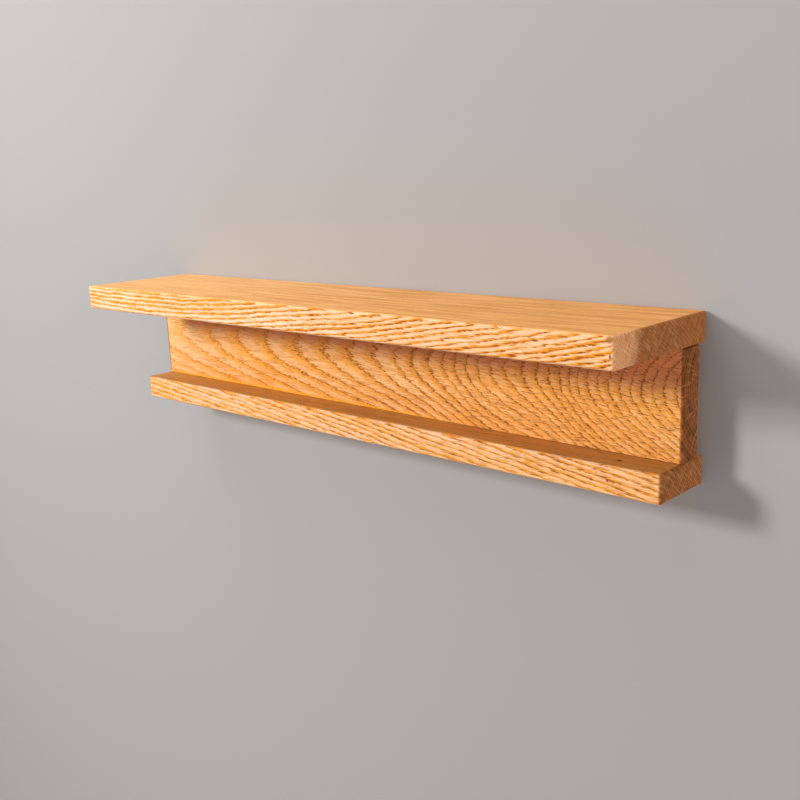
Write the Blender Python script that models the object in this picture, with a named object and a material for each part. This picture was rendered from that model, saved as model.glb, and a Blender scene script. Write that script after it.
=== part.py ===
"""A wall-hung display shelf in solid oak.

A deep top board and a narrow ledge are glued and dowelled to the edges of a back board. The top and
the ledge reach the wall, and the back board stands off it, so its two keyhole hanger plates are hidden.
"""

import math

import bmesh
import bpy

# The frame, in metres: X runs along the shelf, -Y is the front, +Z is up and the wall is the plane Y = 0.
# Z = 0 is the middle of the top board's thickness, where the board's back edge meets the wall.

# Boards
SHELF_LENGTH = 0.600
TOP_DEPTH = 0.120
TOP_THICKNESS = 0.022
LEDGE_DEPTH = 0.060
LEDGE_THICKNESS = 0.022
BACK_THICKNESS = 0.022
CLEAR_HEIGHT = 0.080
WALL_GAP = 0.010
GLUE_LINE = 0.0003
BOARD_ARRIS = 0.0015
BACK_ARRIS = 0.0008
ARRIS_SEGMENTS = 3

# Dowels, in one row along each joint
DOWEL_DIAMETER = 0.008
DOWEL_LENGTH = 0.030
DOWEL_IN_BOARD = 0.012
DOWEL_COUNT = 5
DOWEL_END_DISTANCE = 0.050
DOWEL_FLUTES = 16
FLUTE_DEPTH = 0.0004
DOWEL_CHAMFER = 0.0012
DOWEL_CLEARANCE = 0.0003
DOWEL_BORE_ROOM = 0.0005

# Keyhole hanger plates, screwed to the back of the back board
HANGER_END_DISTANCE = 0.100
HANGER_DROP = 0.024
PLATE_LENGTH = 0.046
PLATE_HEIGHT = 0.022
PLATE_THICKNESS = 0.002
PLATE_SEAT_GAP = 0.0003
PLATE_CORNER_RADIUS = 0.0075
HEAD_HOLE_DIAMETER = 0.010
SLOT_WIDTH = 0.005
SLOT_RISE = 0.007
POCKET_MARGIN = 0.001
POCKET_DEPTH = 0.008

# Countersunk cross-head wood screws that hold the plates
SCREW_SPACING = 0.034
SCREW_LENGTH = 0.016
SCREW_DIAMETER = 0.0035
SCREW_HEAD_DIAMETER = 0.0068
SCREW_RIM = 0.0003
SCREW_POINT_LENGTH = 0.004
SCREW_POINT_DIAMETER = 0.0006
SCREW_CLEARANCE = 0.0003
RECESS_LENGTH = 0.0036
RECESS_WIDTH = 0.0009
RECESS_DEPTH = 0.0012

# How finely round shapes are made, and how far every cutter runs past the face that it cuts
ROUND_SIDES = 24
CORNER_STEPS = 6
CUT_OVERRUN = 0.002
SMOOTH_ANGLE = math.radians(40)

# Places worked out from the sizes
TOP_UNDERSIDE = -TOP_THICKNESS / 2
LEDGE_TOP = TOP_UNDERSIDE - CLEAR_HEIGHT
BACK_REAR = -WALL_GAP
BACK_FRONT = BACK_REAR - BACK_THICKNESS
BACK_MIDDLE = (BACK_FRONT + BACK_REAR) / 2
BACK_TOP = TOP_UNDERSIDE - GLUE_LINE
BACK_BOTTOM = LEDGE_TOP + GLUE_LINE
TOP_DOWEL_LOW = TOP_UNDERSIDE + DOWEL_IN_BOARD - DOWEL_LENGTH
LEDGE_DOWEL_LOW = LEDGE_TOP - DOWEL_IN_BOARD
PLATE_FRONT = BACK_REAR + PLATE_SEAT_GAP
PLATE_REAR = PLATE_FRONT + PLATE_THICKNESS
PLATE_MIDDLE = BACK_TOP - HANGER_DROP
KEYHOLE_HEIGHT = HEAD_HOLE_DIAMETER / 2 + SLOT_RISE + SLOT_WIDTH / 2
KEYHOLE_CENTRE = PLATE_MIDDLE - KEYHOLE_HEIGHT / 2 + HEAD_HOLE_DIAMETER / 2


def clear_scene():
    for obj in list(bpy.data.objects):
        bpy.data.objects.remove(obj, do_unlink=True)


def material(name, colour, roughness, metallic=0.0):
    """A Principled BSDF with one colour, given as linear red, green and blue."""
    made = bpy.data.materials.new(name)
    made.use_nodes = True
    shader = made.node_tree.nodes["Principled BSDF"]
    shader.inputs["Base Color"].default_value = (*colour, 1.0)
    shader.inputs["Roughness"].default_value = roughness
    shader.inputs["Metallic"].default_value = metallic
    return made


def add_object(name, bm, surface=None):
    """Turns a bmesh into an object with outward faces and smooth round stretches."""
    bmesh.ops.recalc_face_normals(bm, faces=bm.faces)
    mesh = bpy.data.meshes.new(name)
    bm.to_mesh(mesh)
    bm.free()
    mesh.shade_smooth()
    mesh.set_sharp_from_angle(angle=SMOOTH_ANGLE)
    obj = bpy.data.objects.new(name, mesh)
    bpy.context.scene.collection.objects.link(obj)
    if surface:
        mesh.materials.append(surface)
    return obj


def combine(obj, bm, operation):
    """Cuts the shape in bm out of obj or joins it on, and keeps it as a hidden helper."""
    helper = add_object(f"{obj.name}_{operation.lower()}", bm)
    helper.hide_render = True
    helper.display_type = "WIRE"
    boolean = obj.modifiers.new(operation.title(), "BOOLEAN")
    boolean.operation = operation
    boolean.object = helper


def cut(obj, bm):
    combine(obj, bm, "DIFFERENCE")


def circle(radius, sides=ROUND_SIDES):
    """Points of a circle about the origin, as (across, up)."""
    turns = [2 * math.pi * i / sides for i in range(sides)]
    return [(radius * math.cos(a), radius * math.sin(a)) for a in turns]


def arc(centre, radius, start, end, steps):
    """Points of an arc about centre, from angle start to angle end, both ends included."""
    angles = [start + (end - start) * i / steps for i in range(steps + 1)]
    return [(centre[0] + radius * math.cos(a), centre[1] + radius * math.sin(a)) for a in angles]


def add_lofted(bm, rings):
    """Joins rings of as many points each with side faces, and closes the first and the last."""
    loops = [[bm.verts.new(point) for point in ring] for ring in rings]
    for lower, upper in zip(loops, loops[1:]):
        for i in range(len(lower)):
            following = (i + 1) % len(lower)
            bm.faces.new((lower[i], lower[following], upper[following], upper[i]))
    bm.faces.new(reversed(loops[0]))
    bm.faces.new(loops[-1])


def add_upright(bm, outline, x, y, low, high):
    """Adds a prism that stands along Z, from an outline about (x, y)."""
    add_lofted(bm, [[(x + a, y + b, z) for a, b in outline] for z in (low, high)])


def add_facing_wall(bm, outline, x, z, front, rear):
    """Adds a prism that runs along Y, from an outline about (x, z)."""
    add_lofted(bm, [[(x + a, y, z + b) for a, b in outline] for y in (front, rear)])


def add_turned(bm, profile, x, z):
    """Adds a solid turned about a line along Y through (x, z), from (y, radius) points."""
    add_lofted(bm, [[(x + a, y, z + b) for a, b in circle(radius)] for y, radius in profile])


# Boards

def add_board(name, depth_span, height_span, arris, chosen, surface):
    """A board of the shelf's full length, with the edges that chosen picks rounded over."""
    (front, rear), (low, high) = depth_span, height_span
    half = SHELF_LENGTH / 2
    bm = bmesh.new()
    corners = [(-half, low), (half, low), (half, high), (-half, high)]
    add_facing_wall(bm, corners, 0, 0, front, rear)
    bmesh.ops.bevel(
        bm,
        geom=[edge for edge in bm.edges if chosen(edge)],
        offset=arris,
        segments=ARRIS_SEGMENTS,
        profile=0.5,
        affect="EDGES",
    )
    return add_object(name, bm, surface)


def add_square_seat(board, low, high):
    """Fills out the rounded end edges where the back board meets them: they are rounded after gluing."""
    end = SHELF_LENGTH / 2
    inside = end - 2 * BOARD_ARRIS
    bm = bmesh.new()
    for left, right in ((-end, -inside), (inside, end)):
        corners = [(left, low), (right, low), (right, high), (left, high)]
        add_facing_wall(bm, corners, 0, 0, BACK_FRONT, BACK_REAR)
    combine(board, bm, "UNION")


def every_edge(edge):
    return True


def upright_edge(edge):
    """The back board's end edges, because its long edges butt against the other boards."""
    across, along, up = edge.verts[0].co - edge.verts[1].co
    return abs(up) > abs(across) + abs(along)


def top_board():
    oak = material("pale oak", (0.70, 0.40, 0.19), 0.45)
    height_span = (TOP_UNDERSIDE, TOP_UNDERSIDE + TOP_THICKNESS)
    board = add_board("top_board", (-TOP_DEPTH, 0), height_span, BOARD_ARRIS, every_edge, oak)
    add_square_seat(board, TOP_UNDERSIDE, TOP_UNDERSIDE + 2 * BOARD_ARRIS)
    bm = bmesh.new()
    add_dowel_bores(bm, TOP_UNDERSIDE - CUT_OVERRUN, TOP_DOWEL_LOW + DOWEL_LENGTH + DOWEL_BORE_ROOM)
    cut(board, bm)


def ledge_board():
    oak = material("tan oak", (0.68, 0.36, 0.15), 0.45)
    height_span = (LEDGE_TOP - LEDGE_THICKNESS, LEDGE_TOP)
    board = add_board("ledge_board", (-LEDGE_DEPTH, 0), height_span, BOARD_ARRIS, every_edge, oak)
    add_square_seat(board, LEDGE_TOP - 2 * BOARD_ARRIS, LEDGE_TOP)
    bm = bmesh.new()
    add_dowel_bores(bm, LEDGE_DOWEL_LOW - DOWEL_BORE_ROOM, LEDGE_TOP + CUT_OVERRUN)
    cut(board, bm)


def back_board():
    """The board between them, bored at both long edges and pocketed behind each hanger plate."""
    oak = material("golden oak", (0.64, 0.29, 0.10), 0.45)
    depth_span, height_span = (BACK_FRONT, BACK_REAR), (BACK_BOTTOM, BACK_TOP)
    board = add_board("back_board", depth_span, height_span, BACK_ARRIS, upright_edge, oak)
    bm = bmesh.new()
    add_dowel_bores(bm, TOP_DOWEL_LOW - DOWEL_BORE_ROOM, BACK_TOP + CUT_OVERRUN)
    ledge_dowel_high = LEDGE_DOWEL_LOW + DOWEL_LENGTH
    add_dowel_bores(bm, BACK_BOTTOM - CUT_OVERRUN, ledge_dowel_high + DOWEL_BORE_ROOM)
    for x in hanger_places().values():
        floor, mouth = BACK_REAR - POCKET_DEPTH, BACK_REAR + CUT_OVERRUN
        add_facing_wall(bm, pocket_outline(), x, KEYHOLE_CENTRE, floor, mouth)
        for place in screw_places(x).values():
            add_screw_hole(bm, place)
    cut(board, bm)


# Dowels and their bores

def dowel_places():
    """Where the dowels stand along the shelf."""
    run = SHELF_LENGTH - 2 * DOWEL_END_DISTANCE
    return [-run / 2 + run * i / (DOWEL_COUNT - 1) for i in range(DOWEL_COUNT)]


def add_dowel_bores(bm, low, high):
    bore = circle(DOWEL_DIAMETER / 2 + DOWEL_CLEARANCE)
    for x in dowel_places():
        add_upright(bm, bore, x, BACK_MIDDLE, low, high)


def dowel(name, x, low, surface):
    """A dowel with grooves along it, which let glue past, and a chamfer at both ends."""
    bm = bmesh.new()
    rings = []
    for z, inset in (
        (low, DOWEL_CHAMFER / 2),
        (low + DOWEL_CHAMFER, 0),
        (low + DOWEL_LENGTH - DOWEL_CHAMFER, 0),
        (low + DOWEL_LENGTH, DOWEL_CHAMFER / 2),
    ):
        crest = DOWEL_DIAMETER / 2 - inset
        ring = []
        for i, (a, b) in enumerate(circle(1, 2 * DOWEL_FLUTES)):
            radius = crest - FLUTE_DEPTH * (i % 2)
            ring.append((x + radius * a, BACK_MIDDLE + radius * b, z))
        rings.append(ring)
    add_lofted(bm, rings)
    add_object(name, bm, surface)


def dowels():
    beech = material("beech", (0.66, 0.43, 0.24), 0.6)
    for number, x in enumerate(dowel_places(), start=1):
        dowel(f"top_dowel_{number}", x, TOP_DOWEL_LOW, beech)
        dowel(f"ledge_dowel_{number}", x, LEDGE_DOWEL_LOW, beech)


# Hanger plates, their pockets and their screws

def hanger_places():
    """Where the hanger plates stand along the shelf."""
    right = SHELF_LENGTH / 2 - HANGER_END_DISTANCE
    return {"left": -right, "right": right}


def screw_places(x):
    """Where the two screws of the plate at x stand along the shelf."""
    return {"left": x - SCREW_SPACING / 2, "right": x + SCREW_SPACING / 2}


def plate_outline():
    """A flat plate's outline with large round corners, about its middle."""
    across = PLATE_LENGTH / 2 - PLATE_CORNER_RADIUS
    up = PLATE_HEIGHT / 2 - PLATE_CORNER_RADIUS
    points = []
    for i, centre in enumerate(((across, up), (-across, up), (-across, -up), (across, -up))):
        start = i * math.pi / 2
        points += arc(centre, PLATE_CORNER_RADIUS, start, start + math.pi / 2, CORNER_STEPS)
    return points


def keyhole_outline():
    """A round hole for the wall screw's head and a narrower slot above it, about the hole's centre."""
    hole, slot = HEAD_HOLE_DIAMETER / 2, SLOT_WIDTH / 2
    meeting = math.acos(slot / hole)
    around = arc((0, 0), hole, math.pi - meeting, 2 * math.pi + meeting, ROUND_SIDES)
    over = arc((0, SLOT_RISE), slot, 0, math.pi, 2 * CORNER_STEPS)
    return around + over


def pocket_outline():
    """The routed pocket that lets the wall screw's head slide up behind the plate."""
    radius = HEAD_HOLE_DIAMETER / 2 + POCKET_MARGIN
    under = arc((0, 0), radius, math.pi, 2 * math.pi, 2 * CORNER_STEPS)
    over = arc((0, SLOT_RISE), radius, 0, math.pi, 2 * CORNER_STEPS)
    return under + over


def screw_profile(grow=0):
    """The screw from its point to its head, as (y, radius), with every radius larger by grow."""
    shank, head = SCREW_DIAMETER / 2, SCREW_HEAD_DIAMETER / 2
    point = PLATE_REAR - SCREW_LENGTH
    rim = PLATE_REAR - SCREW_RIM
    return [
        (point - grow, SCREW_POINT_DIAMETER / 2 + grow),
        (point + SCREW_POINT_LENGTH, shank + grow),
        (rim - (head - shank), shank + grow),
        (rim, head + grow),
        (PLATE_REAR, head + grow),
    ]


def add_screw_hole(bm, x):
    """The screw's own shape with clearance all round, open past the plate's rear face."""
    profile = screw_profile(SCREW_CLEARANCE)
    mouth = (PLATE_REAR + CUT_OVERRUN, profile[-1][1])
    add_turned(bm, profile + [mouth], x, PLATE_MIDDLE)


def hanger_plate(name, x, surface):
    bm = bmesh.new()
    add_facing_wall(bm, plate_outline(), x, PLATE_MIDDLE, PLATE_FRONT, PLATE_REAR)
    plate = add_object(name, bm, surface)
    bm = bmesh.new()
    front, rear = PLATE_FRONT - CUT_OVERRUN, PLATE_REAR + CUT_OVERRUN
    add_facing_wall(bm, keyhole_outline(), x, KEYHOLE_CENTRE, front, rear)
    for place in screw_places(x).values():
        add_screw_hole(bm, place)
    cut(plate, bm)


def countersunk_screw(name, x, surface):
    bm = bmesh.new()
    add_turned(bm, screw_profile(), x, PLATE_MIDDLE)
    screw = add_object(name, bm, surface)
    wide, thin = RECESS_LENGTH / 2, RECESS_WIDTH / 2
    cross = [
        (wide, -thin), (wide, thin), (thin, thin), (thin, wide), (-thin, wide), (-thin, thin),
        (-wide, thin), (-wide, -thin), (-thin, -thin), (-thin, -wide), (thin, -wide), (thin, -thin),
    ]
    bm = bmesh.new()
    add_facing_wall(bm, cross, x, PLATE_MIDDLE, PLATE_REAR - RECESS_DEPTH, PLATE_REAR + CUT_OVERRUN)
    cut(screw, bm)


def hangers():
    zinc = material("zinc plated steel", (0.72, 0.72, 0.70), 0.35, 1.0)
    bright = material("bright steel", (0.63, 0.62, 0.60), 0.3, 1.0)
    for side, x in hanger_places().items():
        hanger_plate(f"{side}_hanger_plate", x, zinc)
        for end, place in screw_places(x).items():
            countersunk_screw(f"{side}_hanger_{end}_screw", place, bright)


clear_scene()
top_board()
back_board()
ledge_board()
dowels()
hangers()
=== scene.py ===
# A wall-hung display shelf in solid oak: a deep top board and a narrow ledge on a back board.
import math

import bpy
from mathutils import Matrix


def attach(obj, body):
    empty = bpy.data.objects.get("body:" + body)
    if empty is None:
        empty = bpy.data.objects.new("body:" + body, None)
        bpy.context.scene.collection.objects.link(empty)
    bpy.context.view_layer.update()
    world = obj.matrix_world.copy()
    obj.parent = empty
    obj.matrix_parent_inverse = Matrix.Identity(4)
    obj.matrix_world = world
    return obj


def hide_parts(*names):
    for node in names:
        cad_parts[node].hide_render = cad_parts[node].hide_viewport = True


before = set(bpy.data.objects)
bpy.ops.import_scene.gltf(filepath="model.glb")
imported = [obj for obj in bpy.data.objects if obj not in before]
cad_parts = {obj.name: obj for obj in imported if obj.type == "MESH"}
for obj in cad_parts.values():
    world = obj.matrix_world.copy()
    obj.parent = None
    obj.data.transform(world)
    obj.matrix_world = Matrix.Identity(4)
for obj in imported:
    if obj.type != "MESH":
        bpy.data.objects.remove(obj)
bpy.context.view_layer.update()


# The camera stands to the right of the shelf and a little above it, and looks along it to the left.
# Its place, turn and focal length were fitted to the shelf's corners.
CAMERA_PLACE = (0.6142, -0.6403, 0.1152)
CAMERA_TURN = (76.92, 2.29, 42.90)
FOCAL_LENGTH_MM = 45.36
SENSOR_WIDTH_MM = 36

bpy.ops.object.select_all(action="DESELECT")
bpy.ops.object.camera_add(location=CAMERA_PLACE, rotation=[math.radians(turn) for turn in CAMERA_TURN])
camera = bpy.context.object
camera.name = "camera"
camera.data.sensor_width = SENSOR_WIDTH_MM
camera.data.lens = FOCAL_LENGTH_MM
bpy.context.scene.camera = camera
bpy.context.scene.view_settings.view_transform = "Standard"


# The light is soft: a low key from the front left, a wide softbox overhead, a weak fill from the right
# and a pale surround. The key throws the top board's shadow on the back board.
KEY_PLACE = (-1.10, -1.84, 0.68)
KEY_AIM = (0.0, -0.05, -0.05)
KEY_WIDTH = 0.42
KEY_POWER = 38
OVERHEAD_PLACE = (-0.45, -0.32, 1.50)
OVERHEAD_AIM = (-0.05, -0.05, 0.0)
OVERHEAD_WIDTH = 1.5
OVERHEAD_POWER = 18.8
FILL_PLACE = (1.75, -0.75, 0.12)
FILL_AIM = (0.3, -0.05, -0.05)
FILL_WIDTH = 0.8
FILL_POWER = 8
SURROUND_STRENGTH = 0.31
SURROUND_COLOUR = (0.98, 0.91, 1.0, 1)
SURROUND_SEEN = 0.82
LIGHT_COLOUR = (1.0, 0.975, 0.94)


def add_softbox(name, place, aim, width, power):
    bpy.ops.object.light_add(type="AREA", location=place)
    lamp = bpy.context.object
    lamp.name = name
    lamp.data.size = width
    lamp.data.energy = power
    lamp.data.color = LIGHT_COLOUR
    away = lamp.location - lamp.location.__class__(aim)
    lamp.rotation_euler = away.to_track_quat("Z", "Y").to_euler()


add_softbox("key_softbox", KEY_PLACE, KEY_AIM, KEY_WIDTH, KEY_POWER)
add_softbox("overhead_softbox", OVERHEAD_PLACE, OVERHEAD_AIM, OVERHEAD_WIDTH, OVERHEAD_POWER)
add_softbox("fill_softbox", FILL_PLACE, FILL_AIM, FILL_WIDTH, FILL_POWER)


def share_rays(tree, camera_share, others_meet, camera_meets, output):
    """Lets the camera's rays meet one shader and all other rays another."""
    mix = tree.nodes.new("ShaderNodeMixShader")
    for source, socket in zip((camera_share, others_meet, camera_meets), mix.inputs):
        tree.links.new(source, socket)
    tree.links.new(mix.outputs[0], tree.nodes[output].inputs["Surface"])


world = bpy.data.worlds.new("surround")
world.use_nodes = True
bpy.context.scene.world = world
tree = world.node_tree
surround = tree.nodes["Background"]
surround.inputs["Color"].default_value = SURROUND_COLOUR
surround.inputs["Strength"].default_value = SURROUND_STRENGTH
seen = tree.nodes.new("ShaderNodeBackground")
seen.inputs["Color"].default_value = (SURROUND_SEEN, SURROUND_SEEN, SURROUND_SEEN, 1)
path = tree.nodes.new("ShaderNodeLightPath")
share_rays(tree, path.outputs["Is Camera Ray"], surround.outputs[0], seen.outputs[0], "World Output")


# The stage is a plain grey wall that the shelf hangs on, and a pale floor well below it.
# Only the camera's own rays meet the wall, and only from the front, so light reaches the shelf's back.
WALL_GAP = 0.0005
WALL_WIDTH = 9.0
WALL_COLOUR = (0.395, 0.394, 0.391, 1)
FLOOR_WIDTH = 18.0
FLOOR_HEIGHT = -1.1
FLOOR_COLOUR = (0.72, 0.72, 0.71, 1)
FLOOR_SEEN = (0.60, 0.60, 0.595, 1)
STAGE_ROUGHNESS = 0.9

bpy.ops.mesh.primitive_plane_add(size=WALL_WIDTH, location=(0, WALL_GAP, 0), rotation=(math.pi / 2, 0, 0))
wall = bpy.context.object
wall.name = "wall"
plaster = bpy.data.materials.new("plaster")
plaster.use_nodes = True
tree = plaster.node_tree
shader = tree.nodes["Principled BSDF"]
shader.inputs["Base Color"].default_value = WALL_COLOUR
shader.inputs["Roughness"].default_value = STAGE_ROUGHNESS
path = tree.nodes.new("ShaderNodeLightPath")
geometry = tree.nodes.new("ShaderNodeNewGeometry")
front = tree.nodes.new("ShaderNodeMath")
front.operation = "SUBTRACT"
front.use_clamp = True
tree.links.new(path.outputs["Is Camera Ray"], front.inputs[0])
tree.links.new(geometry.outputs["Backfacing"], front.inputs[1])
clear = tree.nodes.new("ShaderNodeBsdfTransparent")
share_rays(tree, front.outputs[0], clear.outputs[0], shader.outputs[0], "Material Output")
wall.data.materials.append(plaster)

bpy.ops.mesh.primitive_plane_add(size=FLOOR_WIDTH, location=(0, 0, FLOOR_HEIGHT))
floor = bpy.context.object
floor.name = "floor"
pale = bpy.data.materials.new("pale floor")
pale.use_nodes = True
tree = pale.node_tree
shader = tree.nodes["Principled BSDF"]
shader.inputs["Base Color"].default_value = FLOOR_COLOUR
shader.inputs["Roughness"].default_value = STAGE_ROUGHNESS
plain = tree.nodes.new("ShaderNodeEmission")
plain.inputs["Color"].default_value = FLOOR_SEEN
path = tree.nodes.new("ShaderNodeLightPath")
share_rays(tree, path.outputs["Is Camera Ray"], shader.outputs[0], plain.outputs[0], "Material Output")
floor.data.materials.append(pale)


# The top board is one wide board of solid oak, cut so that its growth rings lie at a slant.
# Its edges are eased, and it is finished with a clear oil that leaves the pores open.
SHELF_END = 0.300
TOP_FACE = 0.011
TOP_CORNERS = ((-SHELF_END, -0.120, -0.011), (SHELF_END, 0.0, TOP_FACE))
ARRIS = 0.0015
TOP_UPRIGHT_ARRIS = 0.0024
WIDEST_ARRIS = 0.0025
UPRIGHT_RISE = 0.01
ARRIS_SEGMENTS = 4
ARRIS_WANDER = 0.0005
WANDER_LENGTH = 0.012
PLANK_STEPS = 60
FACE_TOLERANCE = 0.00004
SMOOTH_BELOW = math.radians(35)
FACE_WEIGHT = 100
DOWEL_PLACES = (-0.250, -0.125, 0.0, 0.125, 0.250)
DOWEL_LINE = -0.021
BORE_RADIUS = 0.0043
BORE_SIDES = 32
TOP_BORES = (-0.012, 0.0015)

# The oak's figure. Counts are cells to the metre, along the fibres and across them. An edge or a change
# gives where it starts and ends, and often its strength at both.
BUNDLES_ACROSS = 620
THIN_BUNDLES_ACROSS = 850
BUNDLE_CHANCE = 0.9
LONG_WAVES = (9, 30)
SHORT_WAVES = (40, 150)
SHORT_WAVE_SHARE = 0.32
THIN_STEP_SHARE = 0.75
BAND_CHANGE = (0.2, 0.7)
BAND_LEAST = 0.7
BAND_LUCK = 0.6
BAND_MOST = 0.96
BAND_START = (0.0, 0.06)
BAND_CLOUDS = (70, 520)
BAND_WEAR = (0.30, 0.52, 0.75, 1.0)
BEAD_CRISP = 0.6
BEAD_EDGE = (0.42, 0.78, 1.0, 0.4)
GAP_EDGE = 0.12
GAP_STRENGTH = 0.15
PORE_EDGE = (0.22, 0.44, 1.0, 0.0)
PORE_CHANCE = (0.60, 0.66)
PORES_IN_BEADS = 0.95
PORE_CHANGE = (0.1, 0.6)
RAY_SLANT = -0.6
RAY_EDGE = (0.09, 0.22, 1.0, 0.0)
RAY_CLOUDS = (30, 260)
RAY_GROUPS = (0.36, 0.62, 0.15, 1.0)
RAY_CHANGE = (0.40, 0.85)
WARM_CLOUDS = (10, 45)
WARMER_ALONG = 0.4
WARM_EDGE = (0.45, 0.95)
FLECKS_ALONG = 42
DARK_FLECKS = (0.50, 0.68)
PALE_FLECKS = (0.32, 0.50)
PALE_SHARE = 0.5
# Painted shade under the top board, on the back board's upper edge: where it begins along the board, and its
# strength.
PAINTED_SHADE_START = (0.02, 0.09)
PAINTED_SHADE_SHARE = 0.85
# The upper face's own colour: a patina on the top board, painted shade on the ledge.
UPPER_EDGE = (0.8, 0.1)
UPPER_CHANGE = (0.05, 0.95)
UPPER_STREAKS = (14, 300)
UPPER_STREAK_EDGE = (0.42, 0.60)
UPPER_STREAK_CHANGE = (0.10, 0.60, 0.45, 1.0)
SPRING_CHANGE = (0.1, 0.7)
STRONG_CHANGE = (0.02, 0.25)
FINE_LINES = (75, 1000)
FINE_LINE_EDGE = (0.50, 0.66)
MARK_EDGE = (0.6, 1.0)

# Its end grain. The years, rows of pores and blades of the rays show there.
# The pale sapwood's edge on the end, which also paints the brighter light on the end's front.
END_TURN = 0.3
SAP_LIGHT_SLANT = -0.25
SAP_LIGHT_CLOUDS = (90, 90)
SAP_LIGHT_WAVE = 0.006
ROW_START = (0.0, 0.12)
ROW_END = (0.3, 0.6, 1.0, 0.0)
PORE_CELLS = 900
PORE_CELL_EDGE = (0.25, 0.60, 1.0, 0.3)
YEAR_CLOUDS = 0.55
YEAR_CLOUDS_ROUND = 45
YEAR_EDGE = (0.45, 0.70)
BLADE_CLOUDS = 90
BLADES_ROUND = 950
BLADE_EDGE = (0.50, 0.68)

# Its oiled surface: the spring bands and the pores are rougher and lie deeper.
OAK_ROUGHNESS = 0.42
SPRING_ROUGHER = 0.15
PORES_ROUGHER = 0.25
SPRING_DEPTH = -0.3
PORE_DEPTH = -0.7
OAK_RELIEF = (0.4, 0.0002)
OAK_SPECULAR = 0.12


def plug(tree, value, socket):
    """Feeds a socket from another node's output, or sets it to a plain value."""
    if isinstance(value, bpy.types.NodeSocket):
        tree.links.new(value, socket)
    else:
        socket.default_value = value


def calc(tree, operation, *values):
    node = tree.nodes.new("ShaderNodeMath")
    node.operation = operation
    for value, socket in zip(values, node.inputs):
        plug(tree, value, socket)
    return node.outputs[0]


def ramp(tree, value, low, high, start=0.0, end=1.0):
    """Goes smoothly from start to end while value goes from low to high."""
    node = tree.nodes.new("ShaderNodeMapRange")
    node.interpolation_type = "SMOOTHSTEP"
    names = ("Value", "From Min", "From Max", "To Min", "To Max")
    for name, number in zip(names, (value, low, high, start, end)):
        plug(tree, number, node.inputs[name])
    return node.outputs[0]


def blend(tree, share, under, over):
    node = tree.nodes.new("ShaderNodeMix")
    node.data_type = "RGBA"
    plug(tree, share, node.inputs["Factor"])
    plug(tree, under, node.inputs["A"])
    plug(tree, over, node.inputs["B"])
    return node.outputs["Result"]


def point(tree, x, y, z):
    node = tree.nodes.new("ShaderNodeCombineXYZ")
    for value, socket in zip((x, y, z), node.inputs):
        plug(tree, value, socket)
    return node.outputs[0]


def spread(tree, place, counts):
    """The place in cells, with counts to the metre along x, y and z."""
    return point(tree, *(calc(tree, "MULTIPLY", part, count) for part, count in zip(place, counts)))


def noise(tree, where, detail=2.0):
    """A cloudy pattern of about 0 to 1, one unit of where to each cloud."""
    node = tree.nodes.new("ShaderNodeTexNoise")
    node.inputs["Scale"].default_value = 1
    node.inputs["Detail"].default_value = detail
    plug(tree, where, node.inputs["Vector"])
    return node.outputs["Fac"]


def specks(tree, where, dimensions="3D"):
    """The distance to the middle of the nearest of many scattered specks, one to each unit of where."""
    node = tree.nodes.new("ShaderNodeTexVoronoi")
    node.voronoi_dimensions = dimensions
    node.inputs["Scale"].default_value = 1
    plug(tree, where, node.inputs["Vector"])
    return node.outputs["Distance"]


def start_material(name):
    """A new material, its nodes and shader, and the object's own x, y and z to draw a pattern on."""
    made = bpy.data.materials.new(name)
    made.use_nodes = True
    tree = made.node_tree
    split = tree.nodes.new("ShaderNodeSeparateXYZ")
    tree.links.new(tree.nodes.new("ShaderNodeTexCoord").outputs["Object"], split.inputs[0])
    return made, tree, tree.nodes["Principled BSDF"], split.outputs


def relief(tree, shader, height, strength, depth):
    """Lets a pattern stand out of the surface, or sink into it where its height is negative."""
    bump = tree.nodes.new("ShaderNodeBump")
    bump.inputs["Strength"].default_value = strength
    bump.inputs["Distance"].default_value = depth
    tree.links.new(height, bump.inputs["Height"])
    tree.links.new(bump.outputs[0], shader.inputs["Normal"])


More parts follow.
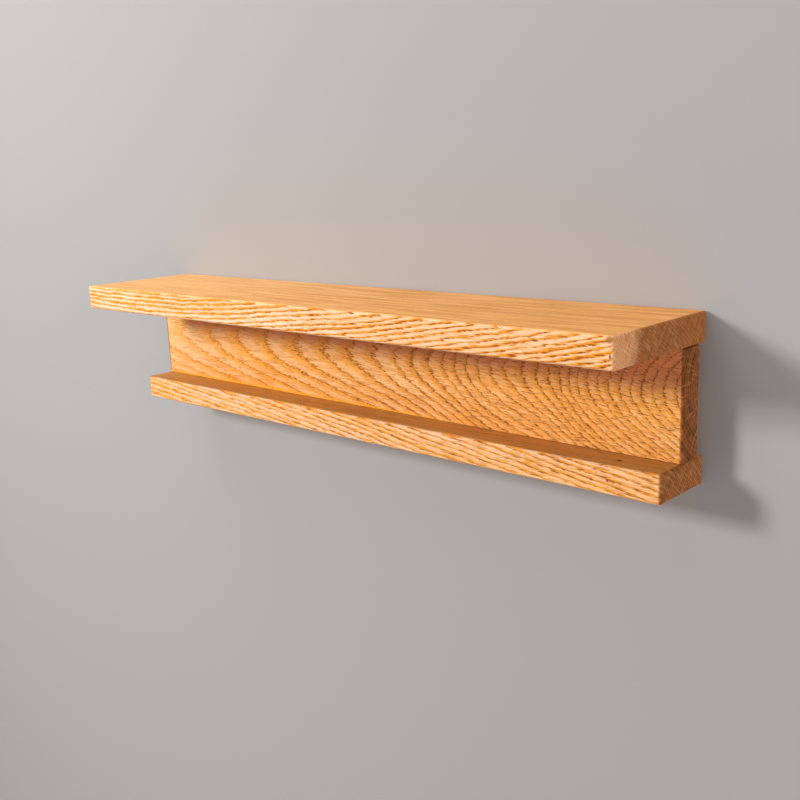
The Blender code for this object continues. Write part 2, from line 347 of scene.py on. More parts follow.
def oak(name, heart, ring_width, drift, rings_drifted, fall, upper_face, wood, seed):
    """Oak whose growth rings lie round a line along the board at heart, as (y, z). drift gives the
    share of rings_drifted that has run out of the surface at each share of the board's length, and
    fall is how far the fibres drop over that length. upper_face is the height of the upper face, or None:
    the top board's has darkened in the light, and the ledge's is painted darker as painted shade. wood
    holds the colours and what differs from board to board. Each
    of its marks has a middle, a reach along x, y and z, and a colour with its strength."""
    made, tree, shader, (x, y, z) = start_material(name)
    along = calc(tree, "MULTIPLY_ADD", x, 0.5 / SHELF_END, 0.5)
    along_squared = calc(tree, "MULTIPLY", along, along)
    fibre_z = calc(tree, "MULTIPLY_ADD", along_squared, fall, z)

    def threaded(counts):
        """The place in cells along and across the fibres."""
        return point(tree, calc(tree, "MULTIPLY_ADD", x, counts[0], seed),
                     calc(tree, "MULTIPLY", y, counts[1]), calc(tree, "MULTIPLY", fibre_z, counts[1]))

    def stretched(counts, detail=2.0):
        return noise(tree, threaded(counts), detail)

    # Fibre bundles: thin long cells, each with three chance values of its own.
    def bundles(counts):
        node = tree.nodes.new("ShaderNodeTexVoronoi")
        node.inputs["Scale"].default_value = 1
        node.inputs["Randomness"].default_value = BUNDLE_CHANCE
        tree.links.new(threaded(counts), node.inputs["Vector"])
        chances = tree.nodes.new("ShaderNodeSeparateColor")
        tree.links.new(node.outputs["Color"], chances.inputs[0])
        return node.outputs["Distance"], chances.outputs

    thick = bundles((wood["bundles"], BUNDLES_ACROSS))[1]
    thin_far, thin = bundles((wood["beads"], THIN_BUNDLES_ACROSS))

    # Rings, counted outwards from the heart. The bundles break their edges into steps.
    heart_y = calc(tree, "MULTIPLY_ADD", along, wood["heart_sink"], heart[0])
    out_y = calc(tree, "SUBTRACT", y, heart_y)
    heart_z = calc(tree, "MULTIPLY_ADD", along, wood["heart_drop"], heart[1])
    out_z = calc(tree, "SUBTRACT", z, heart_z)
    out = calc(tree, "SQRT", calc(tree, "MULTIPLY_ADD", out_y, out_y, calc(tree, "MULTIPLY", out_z, out_z)))
    curve = tree.nodes.new("ShaderNodeFloatCurve")
    points = curve.mapping.curves[0].points
    points[0].location, points[-1].location = drift[0], drift[-1]
    for share in drift[1:-1]:
        points.new(*share)
    curve.mapping.update()
    tree.links.new(along, curve.inputs["Value"])
    # The arches are longer where the heart lies further from the face.
    past_face = calc(tree, "SUBTRACT", out,
                     calc(tree, "MULTIPLY_ADD", along, wood["heart_sink"], wood["face_from_heart"]))
    few, many = wood["crowding"]
    crowd = calc(tree, "MULTIPLY_ADD", along_squared, many - few, few)
    rings = calc(tree, "MULTIPLY_ADD", past_face, calc(tree, "MULTIPLY", crowd, 1 / ring_width), seed)
    rings = calc(tree, "MULTIPLY_ADD", curve.outputs[0], -rings_drifted, rings)
    rings = calc(tree, "MULTIPLY_ADD", stretched(LONG_WAVES), wood["wobble"], rings)
    rings = calc(tree, "MULTIPLY_ADD", stretched(SHORT_WAVES), SHORT_WAVE_SHARE * wood["wobble"], rings)
    rings = calc(tree, "MULTIPLY_ADD", thick[0], wood["steps"], rings)
    rings = calc(tree, "MULTIPLY_ADD", thin[0], THIN_STEP_SHARE * wood["steps"], rings)
    year = calc(tree, "FLOOR", rings)
    season = calc(tree, "FRACT", rings)

    # The spring wood of each year is a dark band, and luck makes some years' bands wider.
    luck = tree.nodes.new("ShaderNodeTexWhiteNoise")
    luck.noise_dimensions = "1D"
    tree.links.new(year, luck.inputs["W"])
    wide = calc(tree, "MULTIPLY", ramp(tree, along, *BAND_CHANGE, *wood["bands"]),
                calc(tree, "MULTIPLY_ADD", luck.outputs["Value"], BAND_LUCK, BAND_LEAST))
    wide = calc(tree, "MINIMUM", wide, BAND_MOST)
    spring = calc(tree, "MULTIPLY", ramp(tree, season, *BAND_START),
                  ramp(tree, season, calc(tree, "MULTIPLY", wide, wood["crisp"]), wide, 1.0, 0.0))
    spring = calc(tree, "MULTIPLY", spring, ramp(tree, stretched(BAND_CLOUDS, detail=3), *BAND_WEAR))

    # The early part of each band is a row of beads, where the widest pores are, and some of them stand
    # open. A few stray pores stand open elsewhere too.
    narrow = calc(tree, "MULTIPLY", wide, wood["bead_width"])
    early = calc(tree, "MULTIPLY", ramp(tree, season, *BAND_START),
                 ramp(tree, season, calc(tree, "MULTIPLY", narrow, BEAD_CRISP), narrow, 1.0, 0.0))
    beads = calc(tree, "MULTIPLY", early, ramp(tree, thin_far, *BEAD_EDGE))
    beads = calc(tree, "MULTIPLY", beads,
                 ramp(tree, thin[2], wood["gaps"], wood["gaps"] + GAP_EDGE, GAP_STRENGTH, 1.0))
    stray = wood["stray_pores"]
    pores = calc(tree, "MULTIPLY", ramp(tree, thin_far, *PORE_EDGE), ramp(tree, thin[1], *PORE_CHANCE))
    pores = calc(tree, "MULTIPLY", pores, calc(tree, "MULTIPLY_ADD", early, PORES_IN_BEADS - stray, stray))
    pores = calc(tree, "MULTIPLY", pores, ramp(tree, along, *PORE_CHANGE, *wood["pore_shares"]))

    # Rays run outwards from the heart, each a thin blade a few millimetres tall along the fibres.
    ray_height = calc(tree, "MULTIPLY", calc(tree, "MULTIPLY_ADD", y, RAY_SLANT, fibre_z), wood["ray_lines"])
    ray_place = point(tree, calc(tree, "MULTIPLY_ADD", x, wood["ray_rows"], seed), ray_height, 0.0)
    ray_far = specks(tree, ray_place, dimensions="2D")
    rays = calc(tree, "MULTIPLY", ramp(tree, ray_far, *RAY_EDGE),
                ramp(tree, stretched(RAY_CLOUDS, detail=1), *RAY_GROUPS))

    # Colours, from the pale summer wood down to the pores.
    warm = calc(tree, "MULTIPLY_ADD", along, WARMER_ALONG, stretched(WARM_CLOUDS, detail=3))
    colour = blend(tree, ramp(tree, warm, *WARM_EDGE), wood["summer"], wood["summer_warm"])
    fleck = stretched((FLECKS_ALONG, wood["streak_lines"]), detail=2)
    colour = blend(tree, ramp(tree, fleck, *DARK_FLECKS, 0.0, wood["streak_share"]), colour, wood["streak"])
    colour = blend(tree, ramp(tree, fleck, *PALE_FLECKS, PALE_SHARE * wood["streak_share"], 0.0),
                   colour, wood["pale"])
    # The upper face takes its own colour: a patina on the top board, painted shade under the top board on
    # the ledge.
    if upper_face is not None:
        upper = ramp(tree, z, *(upper_face - share * ARRIS for share in UPPER_EDGE))
        darkened = blend(tree, ramp(tree, along, *UPPER_CHANGE), wood["upper"], wood["upper_right"])
        streaked = calc(tree, "MULTIPLY", ramp(tree, stretched(UPPER_STREAKS, detail=3), *UPPER_STREAK_EDGE),
                        ramp(tree, along, *UPPER_STREAK_CHANGE))
        darkened = blend(tree, streaked, darkened, wood["upper_line"])
        colour = blend(tree, calc(tree, "MULTIPLY", upper, wood["upper_share"]), colour, darkened)
        calm = calc(tree, "MULTIPLY_ADD", upper, -wood["upper_calm"], 1.0)
        spring, beads, pores, rays = (
            calc(tree, "MULTIPLY", part, calm) for part in (spring, beads, pores, rays))
    strong = ramp(tree, along, *STRONG_CHANGE, wood["faint"], 1.0)
    spring_colour = blend(tree, ramp(tree, along, *SPRING_CHANGE), wood["spring_left"], wood["spring"])
    shown = calc(tree, "MULTIPLY", spring, calc(tree, "MULTIPLY", strong, wood["spring_share"]))
    colour = blend(tree, shown, colour, spring_colour)
    # Painted shade: a purple-brown band along the back board's upper edge stands in for the top board's
    # shadow, reaching lower towards the right end.
    if "red" in wood:
        red_low = calc(tree, "MULTIPLY_ADD", along_squared, -wood["red_widens"], wood["red_edge"][0])
        red = calc(tree, "MULTIPLY", ramp(tree, z, red_low, wood["red_edge"][1], 0.0, PAINTED_SHADE_SHARE),
                   ramp(tree, along, *PAINTED_SHADE_START))
        colour = blend(tree, red, colour, wood["red"])
    lines = stretched(FINE_LINES, detail=2)
    colour = blend(tree, ramp(tree, lines, *FINE_LINE_EDGE, 0.0, wood["line_share"]), colour, wood["line"])
    bead_colour = blend(tree, ramp(tree, along, *SPRING_CHANGE), wood["bead_left"], wood["bead"])
    shown = calc(tree, "MULTIPLY", beads, calc(tree, "MULTIPLY", strong, wood["bead_share"]))
    colour = blend(tree, shown, colour, bead_colour)
    colour = blend(tree, pores, colour, wood["pore"])
    shown = calc(tree, "MULTIPLY", rays, ramp(tree, along, *RAY_CHANGE, *wood["ray_shares"]))
    colour = blend(tree, shown, colour, wood["ray"])

    # End grain. The sapwood, where the board has any, is paler, and this pale front of the end is also
    # painted light.
    end_colour, end_pore, end_ray = wood["end"], wood["end_pore"], wood["end_ray"]
    if "sapwood_and_light" in wood:
        sap_and_light = calc(tree, "MULTIPLY_ADD", z, SAP_LIGHT_SLANT,
                     calc(tree, "MULTIPLY_ADD", stretched(SAP_LIGHT_CLOUDS), SAP_LIGHT_WAVE, y))
        sap_and_light = ramp(tree, sap_and_light, *wood["sapwood_and_light"], 1.0, 0.0)
        end_colour = blend(tree, sap_and_light, end_colour, wood["end_sap_lit"])
        end_pore = blend(tree, sap_and_light, end_pore, wood["sap_lit_pore"])
        end_ray = blend(tree, sap_and_light, end_ray, wood["sap_lit_ray"])
    rows = calc(tree, "MULTIPLY", ramp(tree, season, *ROW_START), ramp(tree, season, *ROW_END))
    cells = specks(tree, point(tree, seed, calc(tree, "MULTIPLY", y, PORE_CELLS),
                               calc(tree, "MULTIPLY", z, PORE_CELLS)))
    rows = calc(tree, "MULTIPLY", rows, ramp(tree, cells, *PORE_CELL_EDGE))
    end_colour = blend(tree, calc(tree, "MULTIPLY", rows, wood["end_rows"]), end_colour, end_pore)
    turn = calc(tree, "MULTIPLY", calc(tree, "ARCTAN2", out_z, out_y), wood["face_from_heart"])
    years = noise(tree, point(tree, calc(tree, "MULTIPLY", rings, YEAR_CLOUDS),
                              calc(tree, "MULTIPLY", turn, YEAR_CLOUDS_ROUND), seed), detail=1)
    end_colour = blend(tree, ramp(tree, years, *YEAR_EDGE, 0.0, wood["end_years"]), end_colour, end_pore)
    blades = noise(tree, point(tree, seed, calc(tree, "MULTIPLY", out, BLADE_CLOUDS),
                               calc(tree, "MULTIPLY", turn, BLADES_ROUND)), detail=1)
    end_colour = blend(tree, ramp(tree, blades, *BLADE_EDGE, 0.0, wood["end_blades"]), end_colour, end_ray)
    end = ramp(tree, calc(tree, "ABSOLUTE", x), SHELF_END - WIDEST_ARRIS,
               SHELF_END - END_TURN * WIDEST_ARRIS)
    colour = blend(tree, end, colour, end_colour)

    for centre, reach, (*mark_colour, strength) in wood["marks"]:
        away = [calc(tree, "DIVIDE", calc(tree, "SUBTRACT", part, middle), radius)
                for part, middle, radius in zip((x, y, z), centre, reach)]
        far = tree.nodes.new("ShaderNodeVectorMath")
        far.operation = "LENGTH"
        tree.links.new(point(tree, *away), far.inputs[0])
        colour = blend(tree, ramp(tree, far.outputs["Value"], *MARK_EDGE, strength, 0.0), colour,
                       (*mark_colour, 1))
    tree.links.new(colour, shader.inputs["Base Color"])

    rough = calc(tree, "MULTIPLY_ADD", spring, SPRING_ROUGHER, OAK_ROUGHNESS)
    tree.links.new(calc(tree, "MULTIPLY_ADD", pores, PORES_ROUGHER, rough), shader.inputs["Roughness"])
    height = calc(tree, "MULTIPLY_ADD", pores, PORE_DEPTH, calc(tree, "MULTIPLY", spring, SPRING_DEPTH))
    relief(tree, shader, height, *OAK_RELIEF)
    shader.inputs["Specular IOR Level"].default_value = OAK_SPECULAR
    return made


def dress(node, material):
    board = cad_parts[node]
    board.data.materials.clear()
    board.data.materials.append(material)


def plank(name, low, high, rounding):
    """A board between two corners. rounding gives the radius of each edge from its middle, (x, y, z),
    and its direction."""
    bpy.ops.object.select_all(action="DESELECT")
    bpy.ops.mesh.primitive_cube_add(size=1)
    piece = bpy.context.object
    piece.name = name
    bpy.ops.object.mode_set(mode="EDIT")
    bpy.ops.transform.resize(value=[top - bottom for bottom, top in zip(low, high)])
    bpy.ops.transform.translate(value=[(bottom + top) / 2 for bottom, top in zip(low, high)])
    bpy.ops.object.mode_set(mode="OBJECT")

    mesh = piece.data
    weights = mesh.attributes.new("bevel_weight_edge", "FLOAT", "EDGE")
    for edge in mesh.edges:
        first, last = (mesh.vertices[i].co for i in edge.vertices)
        weights.data[edge.index].value = rounding((first + last) / 2, last - first) / WIDEST_ARRIS
    bevel = piece.modifiers.new("arris", "BEVEL")
    bevel.limit_method = "WEIGHT"
    bevel.width = WIDEST_ARRIS
    bevel.segments = ARRIS_SEGMENTS
    bpy.ops.object.modifier_apply(modifier="arris")

    # Short lengths let the arris wander a little, as sandpaper leaves it, but no face moves.
    bpy.ops.object.mode_set(mode="EDIT")
    for step in range(1, PLANK_STEPS):
        bpy.ops.mesh.select_all(action="SELECT")
        cut_x = low[0] + (high[0] - low[0]) * step / PLANK_STEPS
        bpy.ops.mesh.bisect(plane_co=(cut_x, 0, 0), plane_no=(1, 0, 0))
    bpy.ops.object.mode_set(mode="OBJECT")
    rounded = piece.vertex_groups.new(name="rounded")
    for vertex in mesh.vertices:
        off_face = min(abs(c - side) for c, sides in zip(vertex.co, zip(low, high)) for side in sides)
        if off_face > FACE_TOLERANCE:
            rounded.add([vertex.index], 1.0, "REPLACE")
    wander = bpy.data.textures.new(name + "_wander", "CLOUDS")
    wander.noise_scale = WANDER_LENGTH
    shift = piece.modifiers.new("wander", "DISPLACE")
    shift.texture = wander
    shift.texture_coords = "LOCAL"
    shift.vertex_group = "rounded"
    shift.strength = ARRIS_WANDER
    shift.mid_level = 1.0
    bpy.ops.object.modifier_apply(modifier="wander")
    return piece


def bore(piece, low, high):
    """Drills the five blind holes for the dowels."""
    bpy.ops.object.select_all(action="DESELECT")
    for number, x in enumerate(DOWEL_PLACES):
        bpy.ops.mesh.primitive_cylinder_add(
            vertices=BORE_SIDES, radius=BORE_RADIUS, depth=high - low,
            location=(x, DOWEL_LINE, (low + high) / 2))
        if number == 0:
            drill = bpy.context.object
            bpy.ops.object.mode_set(mode="EDIT")
    bpy.ops.object.mode_set(mode="OBJECT")
    cut_away(piece, drill)


def cut_away(piece, cutter):
    bpy.ops.object.select_all(action="DESELECT")
    bpy.context.view_layer.objects.active = piece
    piece.select_set(True)
    cut = piece.modifiers.new("cut", "BOOLEAN")
    cut.operation = "DIFFERENCE"
    cut.solver = "EXACT"
    cut.object = cutter
    bpy.ops.object.modifier_apply(modifier="cut")
    bpy.data.objects.remove(cutter)


def finish_piece(piece, material, node):
    """Shades the piece and lets it stand for its solid."""
    bpy.ops.object.select_all(action="DESELECT")
    bpy.context.view_layer.objects.active = piece
    piece.select_set(True)
    bpy.ops.object.shade_smooth_by_angle(angle=SMOOTH_BELOW)
    even = piece.modifiers.new("even", "WEIGHTED_NORMAL")
    even.keep_sharp = True
    even.weight = FACE_WEIGHT
    bpy.ops.object.modifier_apply(modifier="even")
    piece.data.materials.clear()
    piece.data.materials.append(material)
    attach(piece, "root")
    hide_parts(node)


def top_rounding(middle, run):
    return TOP_UPRIGHT_ARRIS if abs(run[2]) > UPRIGHT_RISE else ARRIS


top_oak = oak(
    "top oak",
    heart=(0.186, -0.172),
    ring_width=0.0019,
    drift=((0.0, 0.04), (0.2, 0.0), (0.5, 0.20), (0.75, 0.52), (1.0, 1.0)),
    rings_drifted=16,
    fall=0.0,
    upper_face=TOP_FACE,
    wood={
        "summer": (0.95, 0.71, 0.49, 1),
        "line": (0.80, 0.36, 0.10, 1),
        "line_share": 0.35,
        "summer_warm": (0.92, 0.57, 0.30, 1),
        "streak": (0.80, 0.42, 0.18, 1),
        "streak_share": 0.5,
        "pale": (1, 0.86, 0.68, 1),
        "upper": (1.0, 0.58, 0.225, 1),
        "upper_right": (0.90, 0.44, 0.12, 1),
        "upper_line": (0.68, 0.285, 0.055, 1),
        "upper_share": 0.92,
        "upper_calm": 0.75,
        "stray_pores": 0.08,
        "crisp": 0.80,
        "face_from_heart": 0.30,
        "crowding": (1.0, 1.0),
        "wobble": 1.0,
        "bands": (0.56, 0.56),
        "bead_width": 0.75,
        "heart_drop": 0.0,
        "heart_sink": 0.0,
        "gaps": 0.28,
        "streak_lines": 700,
        "faint": 1.0,
        "steps": 0.28,
        "bundles": 60,
        "spring_left": (0.90, 0.35, 0.0, 1),
        "spring": (0.88, 0.31, 0.0, 1),
        "spring_share": 0.95,
        "beads": 150,
        "bead_left": (0.72, 0.24, 0.0, 1),
        "bead": (0.44, 0.10, 0.0, 1),
        "pore_shares": (0.25, 0.85),
        "bead_share": 1.0,
        "pore": (0.16, 0.05, 0.015, 1),
        "ray": (0.60, 0.30, 0.16, 1),
        "ray_shares": (0.15, 0.25),
        "ray_rows": 90,
        "ray_lines": 900,
        "end": (0.51, 0.18, 0.041, 1),
        "end_pore": (0.17, 0.05, 0.009, 1),
        "end_years": 0.45,
        "end_rows": 0.75,
        "end_blades": 0.6,
        "end_ray": (0.66, 0.34, 0.145, 1),
        # Paler sapwood at the front of the end, which also paints the brighter light falling there.
        "end_sap_lit": (1.0, 0.46, 0.19, 1),
        "sap_lit_pore": (0.42, 0.15, 0.05, 1),
        "sap_lit_ray": (1.0, 0.66, 0.38, 1),
        "sapwood_and_light": (-0.099, -0.084),
        "marks": (
            ((0.300, -0.012, 0.0), (0.004, 0.036, 0.030), (0.50, 0.14, 0.02, 0.28)),
            ((0.2965, -0.1195, 0.0085), (0.0030, 0.0020, 0.0030), (0.35, 0.13, 0.05, 0.7)),
            ((0.2970, -0.1195, -0.0020), (0.0012, 0.0015, 0.0022), (0.25, 0.08, 0.03, 0.8)),
            ((0.2968, -0.1195, -0.0070), (0.0015, 0.0015, 0.0010), (0.30, 0.10, 0.03, 0.7)),
        ),
    },
    seed=3.1,
)
top_board = plank("top_board_oak", *TOP_CORNERS, top_rounding)
bore(top_board, *TOP_BORES)
finish_piece(top_board, top_oak, "top_board")


# The back board is glued and dowelled between the other two. It is flat sawn, so its rings run out of
# the face in long arches that open to the right, and its rays show as fine dark dashes.
dress("back_board", oak(
    "back oak",
    heart=(-0.007, -0.046),
    ring_width=0.0020,
    drift=((0.0, 0.0), (0.09, 0.03), (0.25, 0.095), (0.39, 0.16), (0.54, 0.25), (0.64, 0.35), (0.72, 0.47),
           (0.815, 0.60), (0.87, 0.72), (1.0, 1.0)),
    rings_drifted=32,
    fall=0.030,
    upper_face=None,
    wood={
        "summer": (0.99, 0.575, 0.25, 1),
        "line": (0.34, 0.10, 0.04, 1),
        "line_share": 0.38,
        "summer_warm": (0.99, 0.475, 0.125, 1),
        "streak": (0.74, 0.30, 0.08, 1),
        "streak_share": 0.6,
        "pale": (1, 0.74, 0.42, 1),
        "stray_pores": 0.25,
        "crisp": 0.60,
        "face_from_heart": 0.025,
        "crowding": (0.24, 0.62),
        "wobble": 1.0,
        "bands": (0.62, 0.60),
        "bead_width": 0.42,
        "heart_drop": 0.006,
        "heart_sink": 0.020,
        "gaps": 0.15,
        "streak_lines": 520,
        # Painted shade of the top board along the upper edge, reaching lower towards the right end.
        "red": (0.66, 0.23, 0.095, 1),
        "red_edge": (-0.047, -0.030),
        "red_widens": 0.002,
        "faint": 0.60,
        "steps": 0.16,
        "bundles": 120,
        "spring_left": (0.95, 0.42, 0.04, 1),
        "spring": (0.86, 0.36, 0.035, 1),
        "spring_share": 0.85,
        "beads": 260,
        "pore_shares": (0.25, 0.9),
        "bead_left": (0.66, 0.23, 0.02, 1),
        "bead": (0.34, 0.10, 0.015, 1),
        "bead_share": 0.9,
        "pore": (0.20, 0.06, 0.02, 1),
        "ray": (0.30, 0.09, 0.04, 1),
        "ray_shares": (0.15, 1.0),
        "ray_rows": 60,
        "ray_lines": 520,
        "end": (0.36, 0.108, 0.022, 1),
        "end_pore": (0.09, 0.021, 0.0035, 1),
        "end_years": 0.5,
        "end_rows": 0.85,
        "end_blades": 0.65,
        "end_ray": (0.54, 0.21, 0.056, 1),
        "marks": (
            ((-0.14, -0.032, -0.0912), (0.30, 0.004, 0.0040), (0.92, 0.43, 0.02, 0.75)),
        ),
    },
    seed=11.7,
))


# The ledge is the lower board, narrower than the top one, with its rings at half a right angle.
# It has one small pin hole near its right end; painted shade darkens the hole and the upper face.
LEDGE_FACE = -0.091
LEDGE_CORNERS = ((-SHELF_END, -0.060, -0.113), (SHELF_END, 0.0, LEDGE_FACE))
LEDGE_MIDDLE = -0.03
LEDGE_REAR_ARRIS = 0.0025
LEDGE_FRONT_ARRIS = 0.0018
LEDGE_BORES = (-0.1035, -0.090)
PIN_HOLE = (0.261, -0.0473, LEDGE_FACE)
PIN_HOLE_RADIUS = 0.0010
PIN_HOLE_SIDES = 24
PIN_HOLE_STRETCH = (1.5, 0.9, 2.0)

ledge_oak = oak(
    "ledge oak",
    heart=(0.192, -0.303),
    ring_width=0.0028,
    drift=((0.0, 0.0), (0.25, 0.18), (0.5, 0.42), (0.75, 0.7), (1.0, 1.0)),
    rings_drifted=-17,
    fall=0.0,
    upper_face=LEDGE_FACE,
    wood={
        "summer": (0.96, 0.63, 0.39, 1),
        "line": (0.66, 0.24, 0.07, 1),
        "line_share": 0.50,
        "summer_warm": (0.96, 0.55, 0.23, 1),
        "streak": (0.92, 0.42, 0.19, 1),
        "streak_share": 0.6,
        "pale": (1, 0.80, 0.58, 1),
        # The upper face is painted darker as painted shade under the top board.
        "upper": (0.38, 0.21, 0.058, 1),
        "upper_right": (0.40, 0.21, 0.055, 1),
        "upper_line": (0.25, 0.13, 0.028, 1),
        "upper_share": 0.88,
        "upper_calm": 0.5,
        "stray_pores": 0.22,
        "crisp": 0.85,
        "face_from_heart": 0.30,
        "crowding": (1.0, 1.0),
        "wobble": 1.2,
        "bands": (0.56, 0.50),
        "bead_width": 0.60,
        "heart_drop": 0.0,
        "heart_sink": 0.0,
        "gaps": 0.20,
        "streak_lines": 600,
        "faint": 1.0,
        "steps": 0.28,
        "bundles": 60,
        "spring_left": (0.95, 0.42, 0.02, 1),
        "spring": (0.88, 0.33, 0.01, 1),
        "spring_share": 0.9,
        "beads": 130,
        "pore_shares": (0.5, 0.9),
        "bead_left": (0.66, 0.21, 0.002, 1),
        "bead": (0.38, 0.105, 0.005, 1),
        "bead_share": 0.9,
        "pore": (0.24, 0.07, 0.02, 1),
        "ray": (0.50, 0.22, 0.12, 1),
        "ray_shares": (0.20, 0.35),
        "ray_rows": 90,
        "ray_lines": 800,
        "end": (0.46, 0.158, 0.033, 1),
        "end_pore": (0.155, 0.042, 0.007, 1),
        "end_years": 0.45,
        "end_rows": 0.75,
        "end_blades": 0.6,
        "end_ray": (0.64, 0.30, 0.11, 1),
        "marks": (
            # Painted shade: a near-black patch in and round the pin hole stands in for the shade inside it.
            (PIN_HOLE, (0.0022, 0.0016, 0.0020), (0.05, 0.012, 0.004, 1.0)),
            ((0.192, -0.060, -0.1005), (0.0032, 0.002, 0.0022), (0.90, 0.36, 0.008, 0.8)),
            ((0.270, -0.060, -0.1105), (0.0040, 0.002, 0.0018), (0.72, 0.22, 0.01, 0.6)),
            ((0.054, -0.060, -0.1015), (0.0022, 0.002, 0.0008), (0.25, 0.07, 0.02, 0.9)),
            ((0.246, -0.060, -0.1040), (0.0018, 0.002, 0.0009), (0.25, 0.07, 0.02, 0.9)),
            ((0.259, -0.060, -0.1025), (0.0012, 0.002, 0.0012), (0.20, 0.06, 0.02, 0.9)),
        ),
    },
    seed=7.4,
)


def ledge_rounding(middle, run):
    if abs(run[2]) > UPRIGHT_RISE:
        return LEDGE_REAR_ARRIS if middle[1] > LEDGE_MIDDLE else LEDGE_FRONT_ARRIS
    return ARRIS


ledge_board = plank("ledge_board_oak", *LEDGE_CORNERS, ledge_rounding)
bore(ledge_board, *LEDGE_BORES)
bpy.ops.mesh.primitive_uv_sphere_add(segments=PIN_HOLE_SIDES, ring_count=PIN_HOLE_SIDES // 2,
                                     radius=PIN_HOLE_RADIUS, location=PIN_HOLE)
pit = bpy.context.object
bpy.ops.object.mode_set(mode="EDIT")
bpy.ops.transform.resize(value=PIN_HOLE_STRETCH)
bpy.ops.object.mode_set(mode="OBJECT")
cut_away(ledge_board, pit)
finish_piece(ledge_board, ledge_oak, "ledge_board")


# The dowels are turned from beech, with pressed flutes that let the glue run and chamfers at both ends.
# Five join the back board to the top board and five join it to the ledge, glued into blind bores.
BEECH_DARK = (0.62, 0.38, 0.20, 1)
BEECH_PALE = (0.72, 0.50, 0.30, 1)
BEECH_CLOUDS = (60, 60, 40)
BEECH_CLOUD_EDGE = (0.3, 0.7)
BEECH_FIBRE = (0.50, 0.27, 0.13, 1)
BEECH_FIBRES = (1500, 1500, 90)
BEECH_FIBRE_EDGE = (0.35, 0.70, 0.0, 0.5)
BEECH_FLECK = (0.40, 0.19, 0.09, 1)
BEECH_FLECKS = (900, 900, 260)
BEECH_FLECK_EDGE = (0.12, 0.30, 0.6, 0.0)
BEECH_ROUGHNESS = (0.3, 0.7, 0.50, 0.66)
BEECH_RELIEF = (0.5, 0.0001)
BEECH_SPECULAR = 0.3

beech, tree, shader, place = start_material("beech")
fibre = noise(tree, spread(tree, place, BEECH_FIBRES), detail=3)
cloud = noise(tree, spread(tree, place, BEECH_CLOUDS))
fleck = specks(tree, spread(tree, place, BEECH_FLECKS))
colour = blend(tree, ramp(tree, cloud, *BEECH_CLOUD_EDGE), BEECH_DARK, BEECH_PALE)
colour = blend(tree, ramp(tree, fibre, *BEECH_FIBRE_EDGE), colour, BEECH_FIBRE)
colour = blend(tree, ramp(tree, fleck, *BEECH_FLECK_EDGE), colour, BEECH_FLECK)
tree.links.new(colour, shader.inputs["Base Color"])
tree.links.new(ramp(tree, fibre, *BEECH_ROUGHNESS), shader.inputs["Roughness"])
relief(tree, shader, fibre, *BEECH_RELIEF)
shader.inputs["Specular IOR Level"].default_value = BEECH_SPECULAR
for side in ("top", "ledge"):
    for number in range(1, 6):
        dress(f"{side}_dowel_{number}", beech)


# Two keyhole hanger plates hang the shelf. Each is stamped from 2 mm steel sheet, tumbled so that its edges
# are dull, zinc plated, and screwed to the back of the back board over a pocket for the wall screw's head.
HANGER_SPACING = 0.400
PLATE_EDGE = 0.00025
PLATE_EDGE_SEGMENTS = 3
SHARP_ABOVE = math.radians(40)
FLAT_BELOW = math.radians(1)
SAME_PLACE = 0.00001
ZINC_DARK = (0.66, 0.67, 0.66, 1)
ZINC_PALE = (0.76, 0.75, 0.71, 1)
ZINC_CLOUDS = (110, 110, 110)
ZINC_CLOUD_EDGE = (0.3, 0.7)
TUMBLED = (0.50, 0.51, 0.52, 1)
TUMBLE_SCRATCHES = (500, 500, 2200)
TUMBLE_EDGE = (0.45, 0.75, 0.0, 0.35)
FLAKE = (0.88, 0.88, 0.86, 1)
ZINC_FLAKES = (700, 700, 700)
FLAKE_EDGE = (0.10, 0.25, 0.3, 0.0)
TUMBLE_ROUGHER = 0.5
ZINC_ROUGHNESS = (0.5, 1.0, 0.30, 0.50)
ZINC_RELIEF = (0.25, 0.00005)

zinc, tree, shader, place = start_material("zinc plate")
cloud = noise(tree, spread(tree, place, ZINC_CLOUDS), detail=4)
tumbled = noise(tree, spread(tree, place, TUMBLE_SCRATCHES), detail=3)
flake = specks(tree, spread(tree, place, ZINC_FLAKES))
colour = blend(tree, ramp(tree, cloud, *ZINC_CLOUD_EDGE), ZINC_DARK, ZINC_PALE)
colour = blend(tree, ramp(tree, tumbled, *TUMBLE_EDGE), colour, TUMBLED)
colour = blend(tree, ramp(tree, flake, *FLAKE_EDGE), colour, FLAKE)
tree.links.new(colour, shader.inputs["Base Color"])
rough = calc(tree, "MULTIPLY_ADD", tumbled, TUMBLE_ROUGHER, cloud)
tree.links.new(ramp(tree, rough, *ZINC_ROUGHNESS), shader.inputs["Roughness"])
relief(tree, shader, tumbled, *ZINC_RELIEF)
shader.inputs["Metallic"].default_value = 1.0

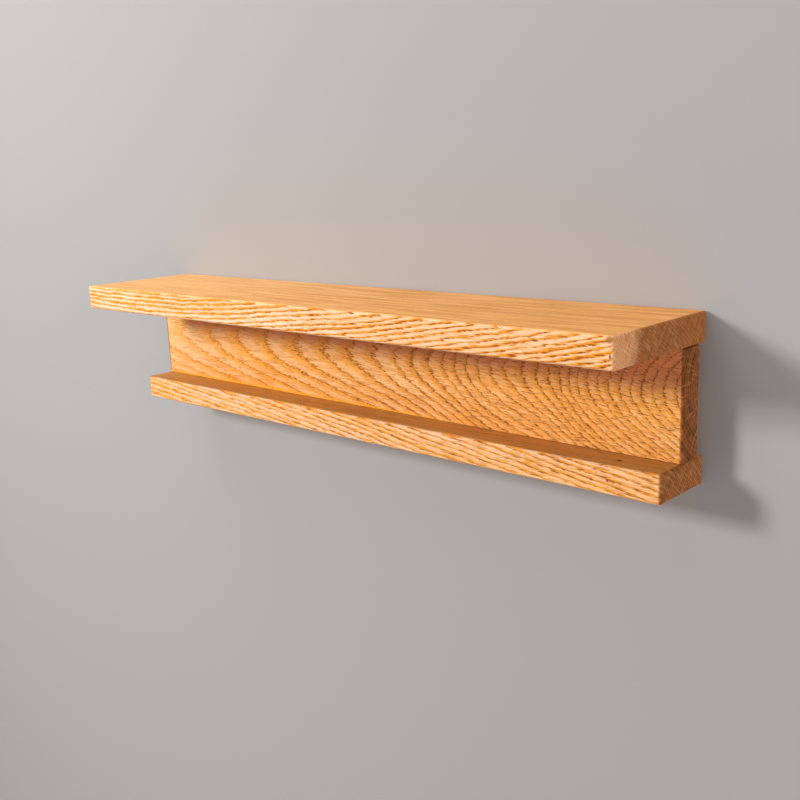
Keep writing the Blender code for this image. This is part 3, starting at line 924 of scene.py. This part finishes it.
bpy.ops.object.select_all(action="DESELECT")
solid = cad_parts["left_hanger_plate"]
bpy.context.view_layer.objects.active = solid
solid.select_set(True)
bpy.ops.object.duplicate()
left_plate = bpy.context.object
left_plate.name = "left_keyhole_plate"
bpy.ops.object.mode_set(mode="EDIT")
bpy.ops.mesh.select_all(action="SELECT")
bpy.ops.mesh.remove_doubles(threshold=SAME_PLACE)
bpy.ops.mesh.dissolve_limited(angle_limit=FLAT_BELOW)
bpy.ops.object.mode_set(mode="OBJECT")
bevel = left_plate.modifiers.new("edge", "BEVEL")
bevel.width = PLATE_EDGE
bevel.segments = PLATE_EDGE_SEGMENTS
bevel.limit_method = "ANGLE"
bevel.angle_limit = SHARP_ABOVE
bpy.ops.object.modifier_apply(modifier="edge")
bpy.ops.object.duplicate()
right_plate = bpy.context.object
right_plate.name = "right_keyhole_plate"
bpy.ops.object.mode_set(mode="EDIT")
bpy.ops.mesh.select_all(action="SELECT")
bpy.ops.transform.translate(value=(HANGER_SPACING, 0, 0))
bpy.ops.object.mode_set(mode="OBJECT")
finish_piece(left_plate, zinc, "left_hanger_plate")
finish_piece(right_plate, zinc, "right_hanger_plate")


# Four countersunk cross-head screws of bright plated steel hold the two plates. Their heads lie flush,
# and each cross is painted darker towards its bottom as painted shade.
SCREW_HEAD_FACE = -0.0077
CROSS_DEPTHS = (0.0012, 0.0002)
BRIGHT_DARK = (0.58, 0.58, 0.56, 1)
BRIGHT_PALE = (0.72, 0.71, 0.67, 1)
PAINTED_RECESS_SHADE = (0.30, 0.29, 0.28, 1)
BRIGHT_CLOUDS = (400, 400, 400)
BRIGHT_CLOUD_EDGE = (0.3, 0.7)
TURNED_LINES = (300, 4000, 300)
BRIGHT_ROUGHNESS = (0.3, 0.8, 0.24, 0.42)
BRIGHT_RELIEF = (0.3, 0.00005)

bright, tree, shader, place = start_material("bright steel")
cloud = noise(tree, spread(tree, place, BRIGHT_CLOUDS), detail=3)
turned = noise(tree, spread(tree, place, TURNED_LINES), detail=2)
# Painted shade: each cross darkens towards its bottom.
outside_recess_shade = ramp(tree, place["Y"], *(SCREW_HEAD_FACE - depth for depth in CROSS_DEPTHS))
colour = blend(tree, ramp(tree, cloud, *BRIGHT_CLOUD_EDGE), BRIGHT_DARK, BRIGHT_PALE)
colour = blend(tree, outside_recess_shade, PAINTED_RECESS_SHADE, colour)
tree.links.new(colour, shader.inputs["Base Color"])
tree.links.new(ramp(tree, cloud, *BRIGHT_ROUGHNESS), shader.inputs["Roughness"])
relief(tree, shader, turned, *BRIGHT_RELIEF)
shader.inputs["Metallic"].default_value = 1.0
for hanger in ("left", "right"):
    for side in ("left", "right"):
        dress(f"{hanger}_hanger_{side}_screw", bright)
